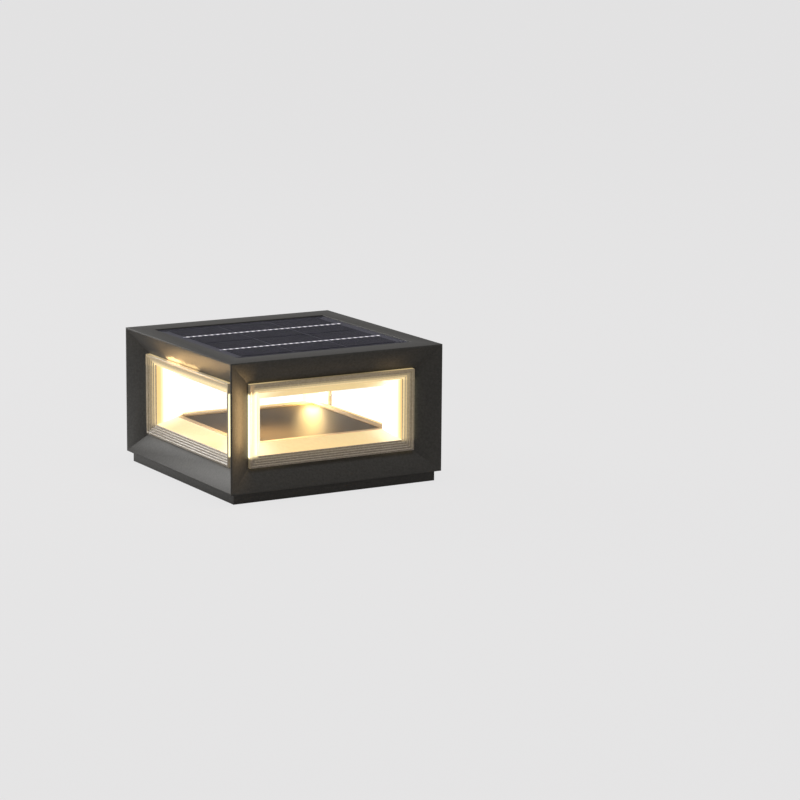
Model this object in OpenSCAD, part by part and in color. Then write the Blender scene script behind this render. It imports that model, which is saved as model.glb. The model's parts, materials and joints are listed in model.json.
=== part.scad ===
// Square solar post light with four glazed openings, on a screwed-down mounting plate.
// Millimetres, +Z up. The origin is the middle of the underside.
// The wide side seen first faces -Y, and the solar ribbons run along X.

/* [Body] */
// Width and depth of the square body
body_w = 250; // [230:1:280]
// Height of the body above the plinth
body_h = 136.5; // [130:0.5:150]
// Height of the set-back plinth
plinth_h = 11; // [10:0.5:14]
// How far the plinth stands back from the body's faces
plinth_inset = 5.4; // [4:0.1:7]
// Flat land left along every outer edge of a face
edge_land = 1.5; // [1:0.1:2.5]
// Wall of the casting
body_wall = 3.5; // [3:0.1:4.5]
// Thickness of the bottom flange
flange_t = 3; // [2.5:0.1:4]
// Plate left under the solar panel's pocket
top_plate_t = 2.5; // [2:0.1:4]

/* [Bevelled surround] */
// Width of the bevel beside a window
side_bevel = 27.5; // [25:0.5:31]
// Height of the bevel above a window
top_bevel = 25.75; // [22:0.25:28]
// Height of the bevel below a window
bottom_bevel = 23.25; // [22:0.25:26]
// Depth that the bevel runs in
bevel_depth = 15; // [12:0.5:17]
// Metal thickness at the window's edge
window_edge_t = 2.5; // [2:0.1:4]
// Width of the flat ring behind the edge
window_land = 5.5; // [5:0.1:6]

/* [Window lens] */
// Number of ridges round the lens
ridge_n = 5; // [3:1:5]
// Width of one ridge
ridge_w = 2.16; // [1.6:0.01:2.3]
// Step in depth from one ridge to the next
ridge_step = 1.5; // [1.2:0.05:1.8]
// Inset of the smooth band at the sides
band_side = 13; // [11:0.5:15]
// Inset of the smooth band above and below
band_rise = 9.4; // [8:0.2:11]
// Depth of the smooth band
band_depth = 17.5; // [15:0.5:19]
// Wall of the smooth band
lens_wall = 2.4; // [2:0.1:2.8]
// Thickness of the clear pane
pane_t = 2.5; // [2:0.1:3]
// How far the lens stands proud of the metal edge
lens_proud = 4.5; // [3:0.5:6]
// Width of the flange round the lens
lens_flange_w = 4; // [3.5:0.1:4.5]
// Thickness of that flange
lens_flange_t = 2.5; // [2:0.1:3]
// Thickness of the window gasket
window_gasket_t = 1; // [0.8:0.1:1.5]
// Gap between the lens and the metal round it
lens_gap = 0.25; // [0.2:0.05:0.4]

/* [Solar panel] */
// Width of the rim at both ends of the ribbons
panel_rim_x = 22; // [21:0.5:27]
// Width of the rim beside the ribbons
panel_rim_y = 27.5; // [21:0.5:31]
// Thickness of the panel's back board
backboard_t = 2.4; // [1.6:0.1:2.6]
// Thickness of one cell
cell_t = 0.3; // [0.2:0.05:0.3]
// Edge of the panel left at both ends of a row of cells
cell_margin_x = 11.25; // [10.5:0.25:20]
// Edge of the panel left beside the rows of cells
cell_margin_y = 12.25; // [10.5:0.25:20]
// Gap between cells
cell_gap = 2.5; // [1.5:0.1:3]
// Cells in each of the two rows
cell_n = 3; // [2:1:3]
// Thickness of the two ribbons
ribbon_t = 0.2; // [0.15:0.05:0.2]
// Width of the two ribbons
ribbon_w = 3.5; // [2.5:0.1:4]
// How far a ribbon runs past its row
ribbon_over = 3.8; // [2:0.1:4.5]
// Thickness of the clear cover
cover_t = 1; // [0.9:0.1:1.6]
// How far the cover lies below the rim
cover_drop = 0.3; // [0.2:0.1:0.6]
// Thickness of the gasket under the panel
panel_gasket_t = 0.8; // [0.6:0.1:1.2]
// Gap round the panel
panel_gap = 0.3; // [0.2:0.1:0.6]

/* [Lantern] */
// How far the floor plate lies below the openings
floor_drop = 2.05; // [1.9:0.05:2.4]
// Thickness of the floor and ceiling plates
plate_t = 1.5; // [1:0.1:2]
// Height of the light rims on the plates
rim_h = 1.6; // [1.2:0.1:1.8]
// Width of the light rims
rim_w = 6.9; // [6:0.1:8]
// Gap between the plates and the panes
plate_gap = 0.3; // [0.2:0.1:0.6]
// Width of the tab in each corner of the plates
tab_w = 15; // [13:0.5:15]
// Thickness of a corner diffuser
diffuser_t = 2; // [1.5:0.1:2]
// Width of an LED strip board
led_board_w = 11; // [9:0.5:12]
// Thickness of an LED strip board
led_board_t = 1.6; // [1:0.1:1.6]
// LEDs on each strip
led_n = 6; // [3:1:8]
// Side of one LED
led_w = 2.8; // [2:0.1:3.5]
// Height of one LED off its board
led_t = 0.8; // [0.6:0.1:1]
// Thickness of the bracket behind a strip
led_bracket_t = 3; // [2:0.1:3]
// Distance of the spacers from the edges of the plates
spacer_in = 16.7; // [14.7:0.5:20.7]
// Radius of the spacers
spacer_r = 4; // [3.5:0.1:5]

/* [Base] */
// Thickness of the tray that closes the body
tray_t = 3; // [2.5:0.1:3.5]
// Wall of the plinth skirt
skirt_t = 3; // [2.5:0.1:3.5]
// Thickness of the base gasket
base_gasket_t = 1.2; // [0.8:0.1:1.5]
// Width of the bottom flange, inwards from the faces
flange_reach = 17; // [16.5:0.5:19]
// Distance of the base screws from the body's faces
base_screw_in = 12.6; // [12:0.1:12.8]
// Distance of the base screws from the middle, along a side
base_screw_along = 60; // [50:1:80]

/* [Mounting plate] */
// Thickness of the steel mounting plate
mount_t = 2; // [1.5:0.1:2.5]
// How far the mounting plate stands in from the skirt
mount_in = 16.6; // [12.6:0.5:21.6]
// Width of the opening in its middle, as a share of the plate's width
mount_share = 0.62; // [0.6:0.01:0.66]
// How far the anchor holes lie outside the middle of the plate's band
anchor_shift = 1; // [-2:0.5:6]
// Radius of the anchor holes
anchor_r = 3.5; // [2.5:0.1:4.5]
// Width of an upturned ear
ear_w = 40; // [30:1:50]
// Radius of the grub screws
grub_r = 2; // [1.5:0.1:2]

/* [Battery and controller] */
// Radius of one battery cell
battery_r = 9.2; // [8.5:0.1:9.4]
// Length of one battery cell
battery_l = 65; // [60:0.5:66]
// Cells in the holder
battery_n = 3; // [1:1:3]
// Height of the holder
holder_h = 14; // [12:0.5:16]
// Length of the controller board
board_w = 66; // [60:1:74]
// Width of the controller board
board_d = 46; // [42:1:47]
// Thickness of the controller board
board_t = 1.6; // [1:0.1:2]
// Height of the board's spacers
board_lift = 6; // [4:0.5:8]

/* [Switch] */
// Radius of the switch's barrel
barrel_r = 8; // [7:0.1:8.5]
// Radius of the push button
button_r = 5.4; // [4.5:0.1:5.8]
// Travel of the push button
button_travel = 1.5; // [1:0.1:1.8]
// How far the button stands out of the bezel
button_out = 2.2; // [2:0.1:2.4]
// Turns of the return spring
spring_turns = 5; // [3:1:6]
// Wire of the return spring
spring_wire = 0.5; // [0.4:0.05:0.6]

/* [Leads] */
// Sheath of the lead from the solar panel
panel_lead_d = 3; // [2:0.1:3.5]
// Sheath of the other leads
lead_d = 2.4; // [1.5:0.1:2.6]

/* [Hidden] */
$fn = 48;
over = 1; // how far a cutting shape runs past the face it cuts
sliver = 0.01; // how far one cut runs into the next
run_fit = 0.05; // radial gap round a pin or a screw in its own hole
metal = [0.2, 0.2, 0.2];
steel = [0.72, 0.72, 0.74];
clear = [0.85, 0.88, 0.88, 0.35];
milky = [1, 0.93, 0.78];
copper = [0.85, 0.45, 0.25];
black = [0.05, 0.05, 0.06];

// Heights of the body
half = body_w / 2;
z_body = plinth_h;
z_top = plinth_h + body_h;
// Window rectangle on a face
win_x = half - side_bevel;
win_z0 = z_body + bottom_bevel;
win_z1 = z_top - top_bevel;
// Depths from a face, inwards
d_lens = bevel_depth - lens_proud;
d_land = bevel_depth + window_edge_t;
d_flange = d_land + window_gasket_t;
d_clip = d_flange + lens_flange_t;
d_ridges = d_lens + ridge_n * ridge_step;
d_pane = d_ridges + band_depth;
d_inside = d_pane + pane_t;
// Opening at the bottom of the funnel
ridges_w = ridge_n * ridge_w;
open_x = win_x - ridges_w - band_side;
open_z0 = win_z0 + ridges_w + band_rise;
open_z1 = win_z1 - ridges_w - band_rise;
// Lantern between the four panes
inside = half - d_inside;
plate_half = inside - plate_gap;
spacer_pos = plate_half - spacer_in;
z_floor = open_z0 - floor_drop;
z_ceiling = open_z1 + floor_drop;
// Distances along a diagonal of the lantern
diffuser_in = 9.5;
led_gap = 0.9;
tab_over = 3;
u_diffuser = inside * sqrt(2) - diffuser_in;
u_bracket = u_diffuser + diffuser_t + led_gap + led_t + led_board_t;
u_tab = inside * sqrt(2) + tab_over;
diffuser_w = 2 * (plate_half * sqrt(2) - u_diffuser - diffuser_t);
led_tail = 4.9;
led_top_gap = 2.5;
led_margin = 3.5;
led_z0 = z_floor - plate_t - led_tail;
led_z1 = z_ceiling - led_top_gap;
led_first = z_floor + rim_h + led_margin;
led_last = z_ceiling - rim_h - led_margin;
slot_gap = 0.3;
// Solar panel
z_cover = z_top - cover_drop;
z_backboard = z_cover - cover_t - backboard_t;
z_pocket = z_backboard - panel_gasket_t;
z_under_top = z_pocket - top_plate_t;
panel_w = body_w - 2 * panel_rim_x;
panel_d = body_w - 2 * panel_rim_y;
cells_w = panel_w - 2 * cell_margin_x;
cell_w = (cells_w - (cell_n - 1) * cell_gap) / cell_n;
cell_d = (panel_d - 2 * cell_margin_y - cell_gap) / 2;
row_pitch = cell_d + cell_gap;
cell_room = 0.05;
panel_gasket_w = 4;
junction_y = 60;
junction_w = 24;
junction_d = 16;
junction_h = 6;
// Base
plinth_half = half - plinth_inset;
skirt_in = plinth_half - skirt_t;
base_open = half - flange_reach;
base_screw_out = half - base_screw_in;
z_tray = z_body - base_gasket_t;
z_tray_under = z_tray - tray_t;
gasket_edge = 1.1;
base_screw_r = 2;
base_head_r = 3.2;
base_head_h = 2.2;
boss_r = 4;
boss_h = 8;
boss_depth = 7;
// Small screws of the spacers, the clips and the board
screw_r = 1.5;
head_r = 3;
head_h = 2.2;
csk_h = 1.5;
screw_grip = 9;
hole_room = 0.2;
// Clips of the windows
clip_w = 12;
clip_t = 1.5;
clip_lap = 2.5;
clip_x = win_x / 2;
clip_edge = 5.4;
clip_out = lens_flange_w + clip_edge;
clip_boss_r = 3.5;
// Mounting plate
mount_half = skirt_in - mount_in;
mount_open = mount_share * mount_half;
anchor_pos = (mount_open + mount_half) / 2 + anchor_shift;
ear_gap = 0.4;
ear_out = skirt_in - ear_gap;
ear_top = z_tray_under - 0.5;
grub_z = z_tray_under / 2;
grub_gap = 0.05;
// Battery holder and controller
holder_wall = 3.5;
contact_t = 1.2;
contact_gap = 0.3;
contact_w = 8;
contact_h = 9;
contact_up = 2;
cell_rest = 0.3;
cell_pitch = 2 * battery_r + 1.1;
trough_l = battery_l + 2 * (contact_t + contact_gap);
holder_l = trough_l + 2 * holder_wall;
holder_d = battery_n * cell_pitch + 3;
holder_y = 32;
holder_floor = 2;
z_battery = z_tray + holder_floor + cell_rest + battery_r;
board_y = -36;
board_screw_in = 3.5;
board_screw_r = 1.25;
board_head_r = 2.3;
board_head_h = 1.6;
board_spacer_r = 2.5;
board_grip = 4;
board_grip_left = 0.5;
z_board = z_tray + board_lift;
z_board_top = z_board + board_t;
plug_w = 7;
plug_h = 6;
z_plug = z_board_top + plug_h / 2;
plug_in = 0.5;
// Switch
switch_x = 45;
switch_y = -30;
bezel_r = barrel_r + 1.5;
bezel_t = 1;
seal_t = 0.6;
nut_r = barrel_r + 3.5;
nut_t = 3;
board_gap = 8.5;
board_x = switch_x - nut_r - board_gap - board_w / 2;
z_bezel = z_tray_under - seal_t - bezel_t;
z_button = z_bezel - button_out;
button_h = 10.5;
z_button_top = z_button + button_h;
spring_room = 6.2;
z_bore_top = z_button_top + spring_room;
z_switch_top = z_bore_top + 3.8;
button_fit = 0.08;
spring_r = button_r - 1.4;
spring_end = 0.3;
button_flange = 0.8;
button_flange_h = 2;
// Leads
post_in = 26;
lead_gap = 0.2;
lead_out = 8;
lead_rise = 7;
lead_step = 6;

// A centred square block from z0 up to z1
module block(half_w, z0, z1) {
  translate([-half_w, -half_w, z0])
    cube([2 * half_w, 2 * half_w, z1 - z0]);
}

// A centred box on the point given, standing on z0
module box_at(x, y, z0, w, d, h) {
  translate([x - w / 2, y - d / 2, z0])
    cube([w, d, h]);
}

// Puts its children, drawn at depth +Y behind a face, on one of the four sides
module on_side(side) {
  rotate([0, 0, 90 * side])
    translate([0, -half, 0])
      children();
}

// Puts its children, drawn with +X out along the diagonal, in one of the four corners
module in_corner(corner) {
  rotate([0, 0, 225 + 90 * corner])
    children();
}

// The solid between two rectangles [half width, low z, high z, depth] behind a face
module wedge(a, b) {
  reach = max(a[0], b[0]) + over;
  low = min(a[1], b[1]) - over;
  high = max(a[2], b[2]) + over;
  intersection() {
    translate([0, 0, low])
      linear_extrude(high - low)
        polygon([[-a[0], a[3]], [a[0], a[3]], [b[0], b[3]], [-b[0], b[3]]]);
    translate([-reach, 0, 0])
      rotate([90, 0, 90])
        linear_extrude(2 * reach)
          polygon([[a[3], a[1]], [a[3], a[2]], [b[3], b[2]], [b[3], b[1]]]);
  }
}

// A straight block behind a face, from depth d0 to d1
module slab(half_w, z0, z1, d0, d1) {
  translate([-half_w, d0, z0])
    cube([2 * half_w, d1 - d0, z1 - z0]);
}

// Places for the eight base screws
function base_points() = [for (side = [0 : 3], along = [-1, 1])
  let (a = 90 * side)
  [base_screw_out * cos(a) - along * base_screw_along * sin(a),
   base_screw_out * sin(a) + along * base_screw_along * cos(a)]];

// Places for the four spacers
function spacer_points() = [for (x = [-1, 1], y = [-1, 1]) [x * spacer_pos, y * spacer_pos]];

// Places for the board's four screws
function board_points() = [for (x = [-1, 1], y = [-1, 1])
  [board_x + x * (board_w / 2 - board_screw_in), board_y + y * (board_d / 2 - board_screw_in)]];

// Places for the four clips of one window: [x, z, which way the clip points]
function clip_points() = [for (x = [-1, 1], up = [-1, 1])
  [x * clip_x, up > 0 ? win_z1 + clip_out : win_z0 - clip_out, up]];

// A screw with a pan head below z, its shank rising above z
module screw_up(r, shank, big_r, big_h) {
  translate([0, 0, -big_h])
    cylinder(r = big_r, h = big_h);
  cylinder(r = r, h = shank);
}

// Swept tubes: unit vector, bend, route and rings
function unit(v) = v / norm(v);
function bend(a, b, c, r) = let (p = b + unit(a - b) * r, q = b + unit(c - b) * r)
  [for (t = [0 : 0.25 : 1]) (1 - t) * (1 - t) * p + 2 * t * (1 - t) * b + t * t * q];
function route(pts, r) = concat([pts[0]],
  [for (i = [1 : len(pts) - 2]) each bend(pts[i - 1], pts[i], pts[i + 1], r)], [pts[len(pts) - 1]]);
function tangent(path, i) = let (n = len(path) - 1)
  unit(path[min(i + 1, n)] - path[max(i - 1, 0)]);
function carry(v, t) = unit(v - (v * t) * t);
function normals(path, start) = let (n = len(path))
  [for (i = 0, v = carry(start, tangent(path, 0)); i < n; i = i + 1,
    v = i < n ? carry(v, tangent(path, i)) : v) v];

// One unbroken tube of diameter d along the path; start is any vector across its first run
module tube(path, d, start, sides = 8) {
  n = len(path);
  across = normals(path, start);
  rings = [for (i = [0 : n - 1], k = [0 : sides - 1])
    let (t = tangent(path, i), a = 360 * k / sides)
    path[i] + d / 2 * (cos(a) * across[i] + sin(a) * cross(t, across[i]))];
  ends = [path[0], path[n - 1]];
  skin = [for (i = [0 : n - 2], k = [0 : sides - 1], half_quad = [0, 1])
    let (a = i * sides + k, b = i * sides + (k + 1) % sides)
    half_quad == 0 ? [a, a + sides, b] : [b, a + sides, b + sides]];
  first = [for (k = [0 : sides - 1]) [n * sides, k, (k + 1) % sides]];
  last = [for (k = [0 : sides - 1])
    [n * sides + 1, (n - 1) * sides + (k + 1) % sides, (n - 1) * sides + k]];
  polyhedron(points = concat(rings, ends), faces = concat(skin, first, last));
}

// Casting: bevelled surrounds, corner posts, top rim with the panel's pocket, bottom flange
module housing() {
  color(metal)
    difference() {
      union() {
        difference() {
          block(half, z_body, z_top);
          block(half - body_wall, z_body + flange_t, z_under_top);
        }
        for (side = [0 : 3])
          on_side(side)
            wedge([half, z_body, z_top, 0],
              [win_x + window_land, win_z0 - window_land, win_z1 + window_land, d_land]);
        for (p = base_points())
          translate([p[0], p[1], z_body])
            cylinder(r = boss_r, h = flange_t + boss_h);
        for (side = [0 : 3], p = clip_points())
          on_side(side)
            translate([p[0], d_clip, p[1]])
              rotate([90, 0, 0])
                cylinder(r = clip_boss_r, h = d_clip - bevel_depth / 2);
      }
      for (side = [0 : 3])
        on_side(side) {
          slab(half - edge_land, z_body + edge_land, z_top - edge_land, -over, 0);
          wedge([half - edge_land, z_body + edge_land, z_top - edge_land, 0],
            [win_x + lens_gap, win_z0 - lens_gap, win_z1 + lens_gap, bevel_depth]);
          slab(win_x + lens_gap, win_z0 - lens_gap, win_z1 + lens_gap, bevel_depth - sliver, d_land + over);
        }
      block(base_open, z_body - over, z_body + flange_t + over);
      for (p = base_points())
        translate([p[0], p[1], z_body - over])
          cylinder(r = base_screw_r + run_fit, h = over + flange_t + boss_depth);
      for (side = [0 : 3], p = clip_points())
        on_side(side)
          translate([p[0], d_clip + over, p[1]])
            rotate([90, 0, 0])
              cylinder(r = screw_r + run_fit, h = over + 6);
      box_at(0, 0, z_pocket, panel_w + 2 * panel_gap, panel_d + 2 * panel_gap, z_top - z_pocket + over);
      box_at(0, junction_y, z_under_top - over, junction_w + 2, junction_d + 2, top_plate_t + 2 * over);
      for (p = spacer_points())
        translate([p[0], p[1], 0]) {
          translate([0, 0, z_under_top - over])
            cylinder(r = screw_r + hole_room, h = top_plate_t + 2 * over);
          translate([0, 0, z_pocket - csk_h - hole_room])
            cylinder(r1 = screw_r, r2 = head_r + hole_room, h = csk_h + hole_room);
        }
    }
}

// Glass-fibre board that carries the cells
module solar_backboard() {
  color(black)
    box_at(0, 0, z_backboard, panel_w, panel_d, backboard_t);
}

// Two rows of cells
module solar_cells() {
  color([0.04, 0.05, 0.12])
    for (row = [-1, 1], i = [0 : cell_n - 1])
      box_at(-cells_w / 2 + cell_w / 2 + i * (cell_w + cell_gap), row * row_pitch / 2,
        z_backboard + backboard_t, cell_w, cell_d, cell_t);
}

// One collecting ribbon along each row
module solar_ribbons() {
  color(steel)
    for (row = [-1, 1])
      box_at(0, row * row_pitch / 2, z_backboard + backboard_t + cell_t,
        cells_w + 2 * ribbon_over, ribbon_w, ribbon_t);
}

// Clear cover, hollowed underneath over the cells
module solar_cover() {
  color(clear)
    difference() {
      box_at(0, 0, z_backboard + backboard_t, panel_w, panel_d, cover_t);
      box_at(0, 0, z_backboard + backboard_t - over, cells_w + 2 * ribbon_over + 1,
        2 * cell_d + cell_gap + 1, over + cell_t + ribbon_t + cell_room);
    }
}

// Foam ring that the panel is bedded on
module solar_gasket() {
  color(black)
    difference() {
      box_at(0, 0, z_pocket, panel_w - 2, panel_d - 2, panel_gasket_t);
      box_at(0, 0, z_pocket - over, panel_w - 2 - 2 * panel_gasket_w, panel_d - 2 - 2 * panel_gasket_w,
        panel_gasket_t + 2 * over);
    }
}

// Terminal box under the panel, in a cut-out of the top plate
module junction_box() {
  color(black)
    box_at(0, junction_y, z_backboard - junction_h, junction_w, junction_d, junction_h);
}

// One moulded lens: flange, ridged frame, smooth band and clear pane
module window_lens(side) {
  color(clear)
    on_side(side)
      difference() {
        union() {
          slab(win_x, win_z0, win_z1, d_lens, d_clip);
          slab(win_x + lens_flange_w, win_z0 - lens_flange_w, win_z1 + lens_flange_w, d_flange, d_clip);
          wedge([open_x + lens_wall + band_side, open_z0 - lens_wall - band_rise,
              open_z1 + lens_wall + band_rise, d_ridges + pane_t],
            [open_x + lens_wall, open_z0 - lens_wall, open_z1 + lens_wall, d_inside]);
        }
        for (i = [1 : ridge_n])
          slab(win_x - i * ridge_w, win_z0 + i * ridge_w, win_z1 - i * ridge_w,
            d_lens - over, d_lens + i * ridge_step);
        wedge([win_x - ridges_w, win_z0 + ridges_w, win_z1 - ridges_w, d_ridges - sliver],
          [open_x, open_z0, open_z1, d_pane]);
      }
}

// Rubber ring between each lens flange and the casting
module window_gaskets() {
  color(black)
    for (side = [0 : 3])
      on_side(side)
        difference() {
          slab(win_x + lens_flange_w, win_z0 - lens_flange_w, win_z1 + lens_flange_w, d_land, d_flange);
          slab(win_x + 2 * lens_gap, win_z0 - 2 * lens_gap, win_z1 + 2 * lens_gap, d_land - over, d_flange + over);
        }
}

// Steel clips that press each lens flange on its gasket
module window_clips() {
  clip_in = clip_out - lens_flange_w + clip_lap;
  clip_end = 5;
  color(steel)
    for (side = [0 : 3], p = clip_points())
      on_side(side)
        difference() {
          translate([p[0] - clip_w / 2, d_clip, p[1] - (p[2] > 0 ? clip_in : clip_end)])
            cube([clip_w, clip_t, clip_in + clip_end]);
          translate([p[0], d_clip + clip_t + over, p[1]])
            rotate([90, 0, 0])
              cylinder(r = screw_r + hole_room, h = clip_t + 2 * over);
        }
}

// Screws of the clips
module window_screws() {
  color(steel)
    for (side = [0 : 3], p = clip_points())
      on_side(side)
        translate([p[0], d_clip + clip_t, p[1]])
          rotate([90, 0, 0])
            screw_up(screw_r, clip_t + 5, head_r, head_h);
}

// Outline of the floor and the ceiling: a square with a tab in each corner
module plate_outline() {
  square(2 * plate_half, center = true);
  for (corner = [0 : 3])
    in_corner(corner)
      translate([0, -tab_w / 2])
        square([u_tab, tab_w]);
}

// A plate from z up, slotted for the strips, which reach through the lower one
module lantern_plate(z, slotted) {
  difference() {
    translate([0, 0, z])
      linear_extrude(plate_t)
        plate_outline();
    if (slotted)
      for (corner = [0 : 3])
        in_corner(corner)
          translate([u_bracket - led_board_t - slot_gap, -led_board_w / 2 - slot_gap, z - over])
            cube([led_board_t + slot_gap, led_board_w + 2 * slot_gap, plate_t + 2 * over]);
  }
}

// Dark floor of the lantern
module floor_plate() {
  color(metal)
    lantern_plate(z_floor - plate_t, true);
}

// Ceiling of the lantern
module ceiling_plate() {
  color(metal)
    lantern_plate(z_ceiling, false);
}

// Square light rim along the edge of a plate
module light_rim(z) {
  difference() {
    block(plate_half, z, z + rim_h);
    block(plate_half - rim_w, z - over, z + rim_h + over);
    for (corner = [0 : 3])
      in_corner(corner)
        translate([u_diffuser + diffuser_t + slot_gap, -tab_w / 2, z - over])
          cube([u_tab, tab_w, rim_h + 2 * over]);
  }
}

// Light rim on the floor
module floor_light_rim() {
  color(milky)
    light_rim(z_floor);
}

// Light rim under the ceiling
module ceiling_light_rim() {
  color(milky)
    light_rim(z_ceiling - rim_h);
}

// Frosted strip across one corner of the lantern
module corner_diffuser(corner) {
  color(milky)
    in_corner(corner)
      translate([u_diffuser, -diffuser_w / 2, z_floor + rim_h])
        cube([diffuser_t, diffuser_w, z_ceiling - z_floor - 2 * rim_h]);
}

// Strip board of one corner
module led_board(corner) {
  color([0.9, 0.9, 0.9])
    in_corner(corner)
      translate([u_bracket - led_board_t, -led_board_w / 2, led_z0])
        cube([led_board_t, led_board_w, led_z1 - led_z0]);
}

// LEDs of all four strips
module led_chips() {
  pitch = (led_last - led_first) / (led_n - 1);
  color([1, 0.85, 0.4])
    for (corner = [0 : 3], i = [0 : led_n - 1])
      in_corner(corner)
        translate([u_bracket - led_board_t - led_t, -led_w / 2, led_first + i * pitch - led_w / 2])
          cube([led_t, led_w, led_w]);
}

// Aluminium bracket that stands behind a strip and carries its heat away
module led_bracket(corner) {
  color(steel)
    in_corner(corner)
      translate([u_bracket, -led_board_w / 2, z_floor])
        cube([led_bracket_t, led_board_w, z_ceiling - z_floor]);
}

// A spacer from z0 to z1 with a blind threaded hole at one end
module spacer(z0, z1, hole_up) {
  difference() {
    translate([0, 0, z0])
      cylinder(r = spacer_r, h = z1 - z0);
    translate([0, 0, hole_up ? z1 - screw_grip - over : z0 - over])
      cylinder(r = screw_r + run_fit, h = screw_grip + 2 * over);
  }
}

// Spacers between the tray and the floor plate
module floor_spacers() {
  color(steel)
    for (p = spacer_points())
      translate([p[0], p[1], 0])
        spacer(z_tray, z_floor - plate_t, false);
}

// Spacers between the ceiling plate and the top plate
module ceiling_spacers() {
  color(steel)
    for (p = spacer_points())
      translate([p[0], p[1], 0])
        spacer(z_ceiling + plate_t, z_under_top, true);
}

// Screws that hold the floor spacers from under the tray
module floor_screws() {
  color(steel)
    for (p = spacer_points())
      translate([p[0], p[1], z_tray_under])
        screw_up(screw_r, tray_t + screw_grip, head_r, head_h);
}

// Countersunk screws that hold the ceiling spacers from the panel's pocket
module ceiling_screws() {
  color(steel)
    for (p = spacer_points())
      translate([p[0], p[1], 0]) {
        translate([0, 0, z_pocket - csk_h])
          cylinder(r1 = screw_r, r2 = head_r, h = csk_h);
        translate([0, 0, z_under_top - screw_grip])
          cylinder(r = screw_r, h = z_pocket - csk_h - z_under_top + screw_grip);
      }
}

// Tray that closes the body, with the plinth skirt round it
module base_tray() {
  color(metal)
    difference() {
      block(plinth_half, 0, z_tray);
      block(skirt_in, -over, z_tray_under);
      for (p = base_points())
        translate([p[0], p[1], z_tray_under - over])
          cylinder(r = base_screw_r + hole_room, h = tray_t + 2 * over);
      for (p = spacer_points())
        translate([p[0], p[1], z_tray_under - over])
          cylinder(r = screw_r + hole_room, h = tray_t + 2 * over);
      translate([switch_x, switch_y, z_tray_under - over])
        cylinder(r = barrel_r + hole_room, h = tray_t + 2 * over);
      for (side = [1, 2])
        on_side(side)
          translate([0, plinth_inset - over, grub_z])
            rotate([-90, 0, 0])
              cylinder(r = grub_r + run_fit, h = skirt_t + 2 * over);
    }
}

// Rubber ring between the tray and the body
module base_gasket() {
  color(black)
    difference() {
      block(plinth_half - gasket_edge, z_tray, z_body);
      block(base_open + gasket_edge, z_tray - over, z_body + over);
      for (p = base_points())
        translate([p[0], p[1], z_tray - over])
          cylinder(r = base_screw_r + hole_room, h = base_gasket_t + 2 * over);
    }
}

// Eight screws of the tray
module base_screws() {
  color(steel)
    for (p = base_points())
      translate([p[0], p[1], z_tray_under])
        screw_up(base_screw_r, tray_t + base_gasket_t + boss_depth - 0.5, base_head_r, base_head_h);
}

// Steel plate screwed to the post, with four upturned ears inside the plinth skirt
module mounting_plate() {
  color(steel)
    difference() {
      union() {
        block(mount_half, 0, mount_t);
        for (side = [0 : 3])
          rotate([0, 0, 90 * side]) {
            translate([-ear_w / 2, 0, 0])
              cube([ear_w, ear_out, mount_t]);
            translate([-ear_w / 2, ear_out - mount_t, 0])
              cube([ear_w, mount_t, ear_top]);
          }
      }
      block(mount_open, -over, mount_t + over);
      for (x = [-1, 1], y = [-1, 1])
        translate([x * anchor_pos, y * anchor_pos, -over])
          cylinder(r = anchor_r, h = mount_t + 2 * over);
    }
}

// Two grub screws that press on the right and the back ear
module grub_screws() {
  sink = 0.2;
  color(black)
    for (side = [1, 2])
      on_side(side)
        translate([0, plinth_inset + sink, grub_z])
          rotate([-90, 0, 0])
            cylinder(r = grub_r, h = skirt_t + ear_gap - sink - grub_gap);
}

// Moulded cradle of the battery cells
module battery_holder() {
  color(black)
    difference() {
      box_at(0, holder_y, z_tray, holder_l, holder_d, holder_h);
      for (i = [0 : battery_n - 1])
        translate([-trough_l / 2, holder_y + (i - (battery_n - 1) / 2) * cell_pitch, z_battery])
          rotate([0, 90, 0])
            cylinder(r = battery_r + cell_rest, h = trough_l);
    }
}

// Battery cells side by side
module battery_cells() {
  cap_r = 2.8;
  cap_h = 1;
  color([0.15, 0.35, 0.6])
    for (i = [0 : battery_n - 1])
      translate([-battery_l / 2, holder_y + (i - (battery_n - 1) / 2) * cell_pitch, z_battery])
        rotate([0, 90, 0]) {
          cylinder(r = battery_r, h = battery_l - cap_h);
          cylinder(r = cap_r, h = battery_l);
        }
}

// Contact plates at both ends of each cell
module battery_contacts() {
  color(steel)
    for (i = [0 : battery_n - 1], end = [-1, 1])
      translate([end * (trough_l / 2 - contact_t / 2),
        holder_y + (i - (battery_n - 1) / 2) * cell_pitch, z_battery + contact_up - contact_h / 2])
        cube([contact_t, contact_w, contact_h], center = true);
}

// Charge and light controller board
module controller_board() {
  color([0.05, 0.3, 0.15])
    difference() {
      box_at(board_x, board_y, z_board, board_w, board_d, board_t);
      for (p = board_points())
        translate([p[0], p[1], z_board - over])
          cylinder(r = board_screw_r + hole_room, h = board_t + 2 * over);
    }
}

// Controller chip
module board_chip() {
  color(black)
    box_at(board_x, board_y, z_board_top, 10, 10, 1.6);
}

// Inductor of the charger
module board_inductor() {
  color([0.3, 0.3, 0.3])
    box_at(board_x + board_w / 4 - plug_in, board_y + 2, z_board_top, 12, 12, 5);
}

// Smoothing capacitor
module board_capacitor() {
  color([0.1, 0.1, 0.3])
    translate([board_x - board_w / 4 + plug_in, board_y + 2, z_board_top])
      cylinder(r = 4, h = 10);
}

// Middles of the four connectors: panel, harness, battery, switch
function plug_points() = [
  [board_x - board_w / 2 + plug_in + plug_w / 2, board_y],
  [board_x - board_w / 4, board_y - board_d / 2 + plug_in + plug_w / 2],
  [board_x - board_w / 4, board_y + board_d / 2 - plug_in - plug_w / 2],
  [board_x + board_w / 2 - plug_in - plug_w / 2, board_y + 6]];

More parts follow.
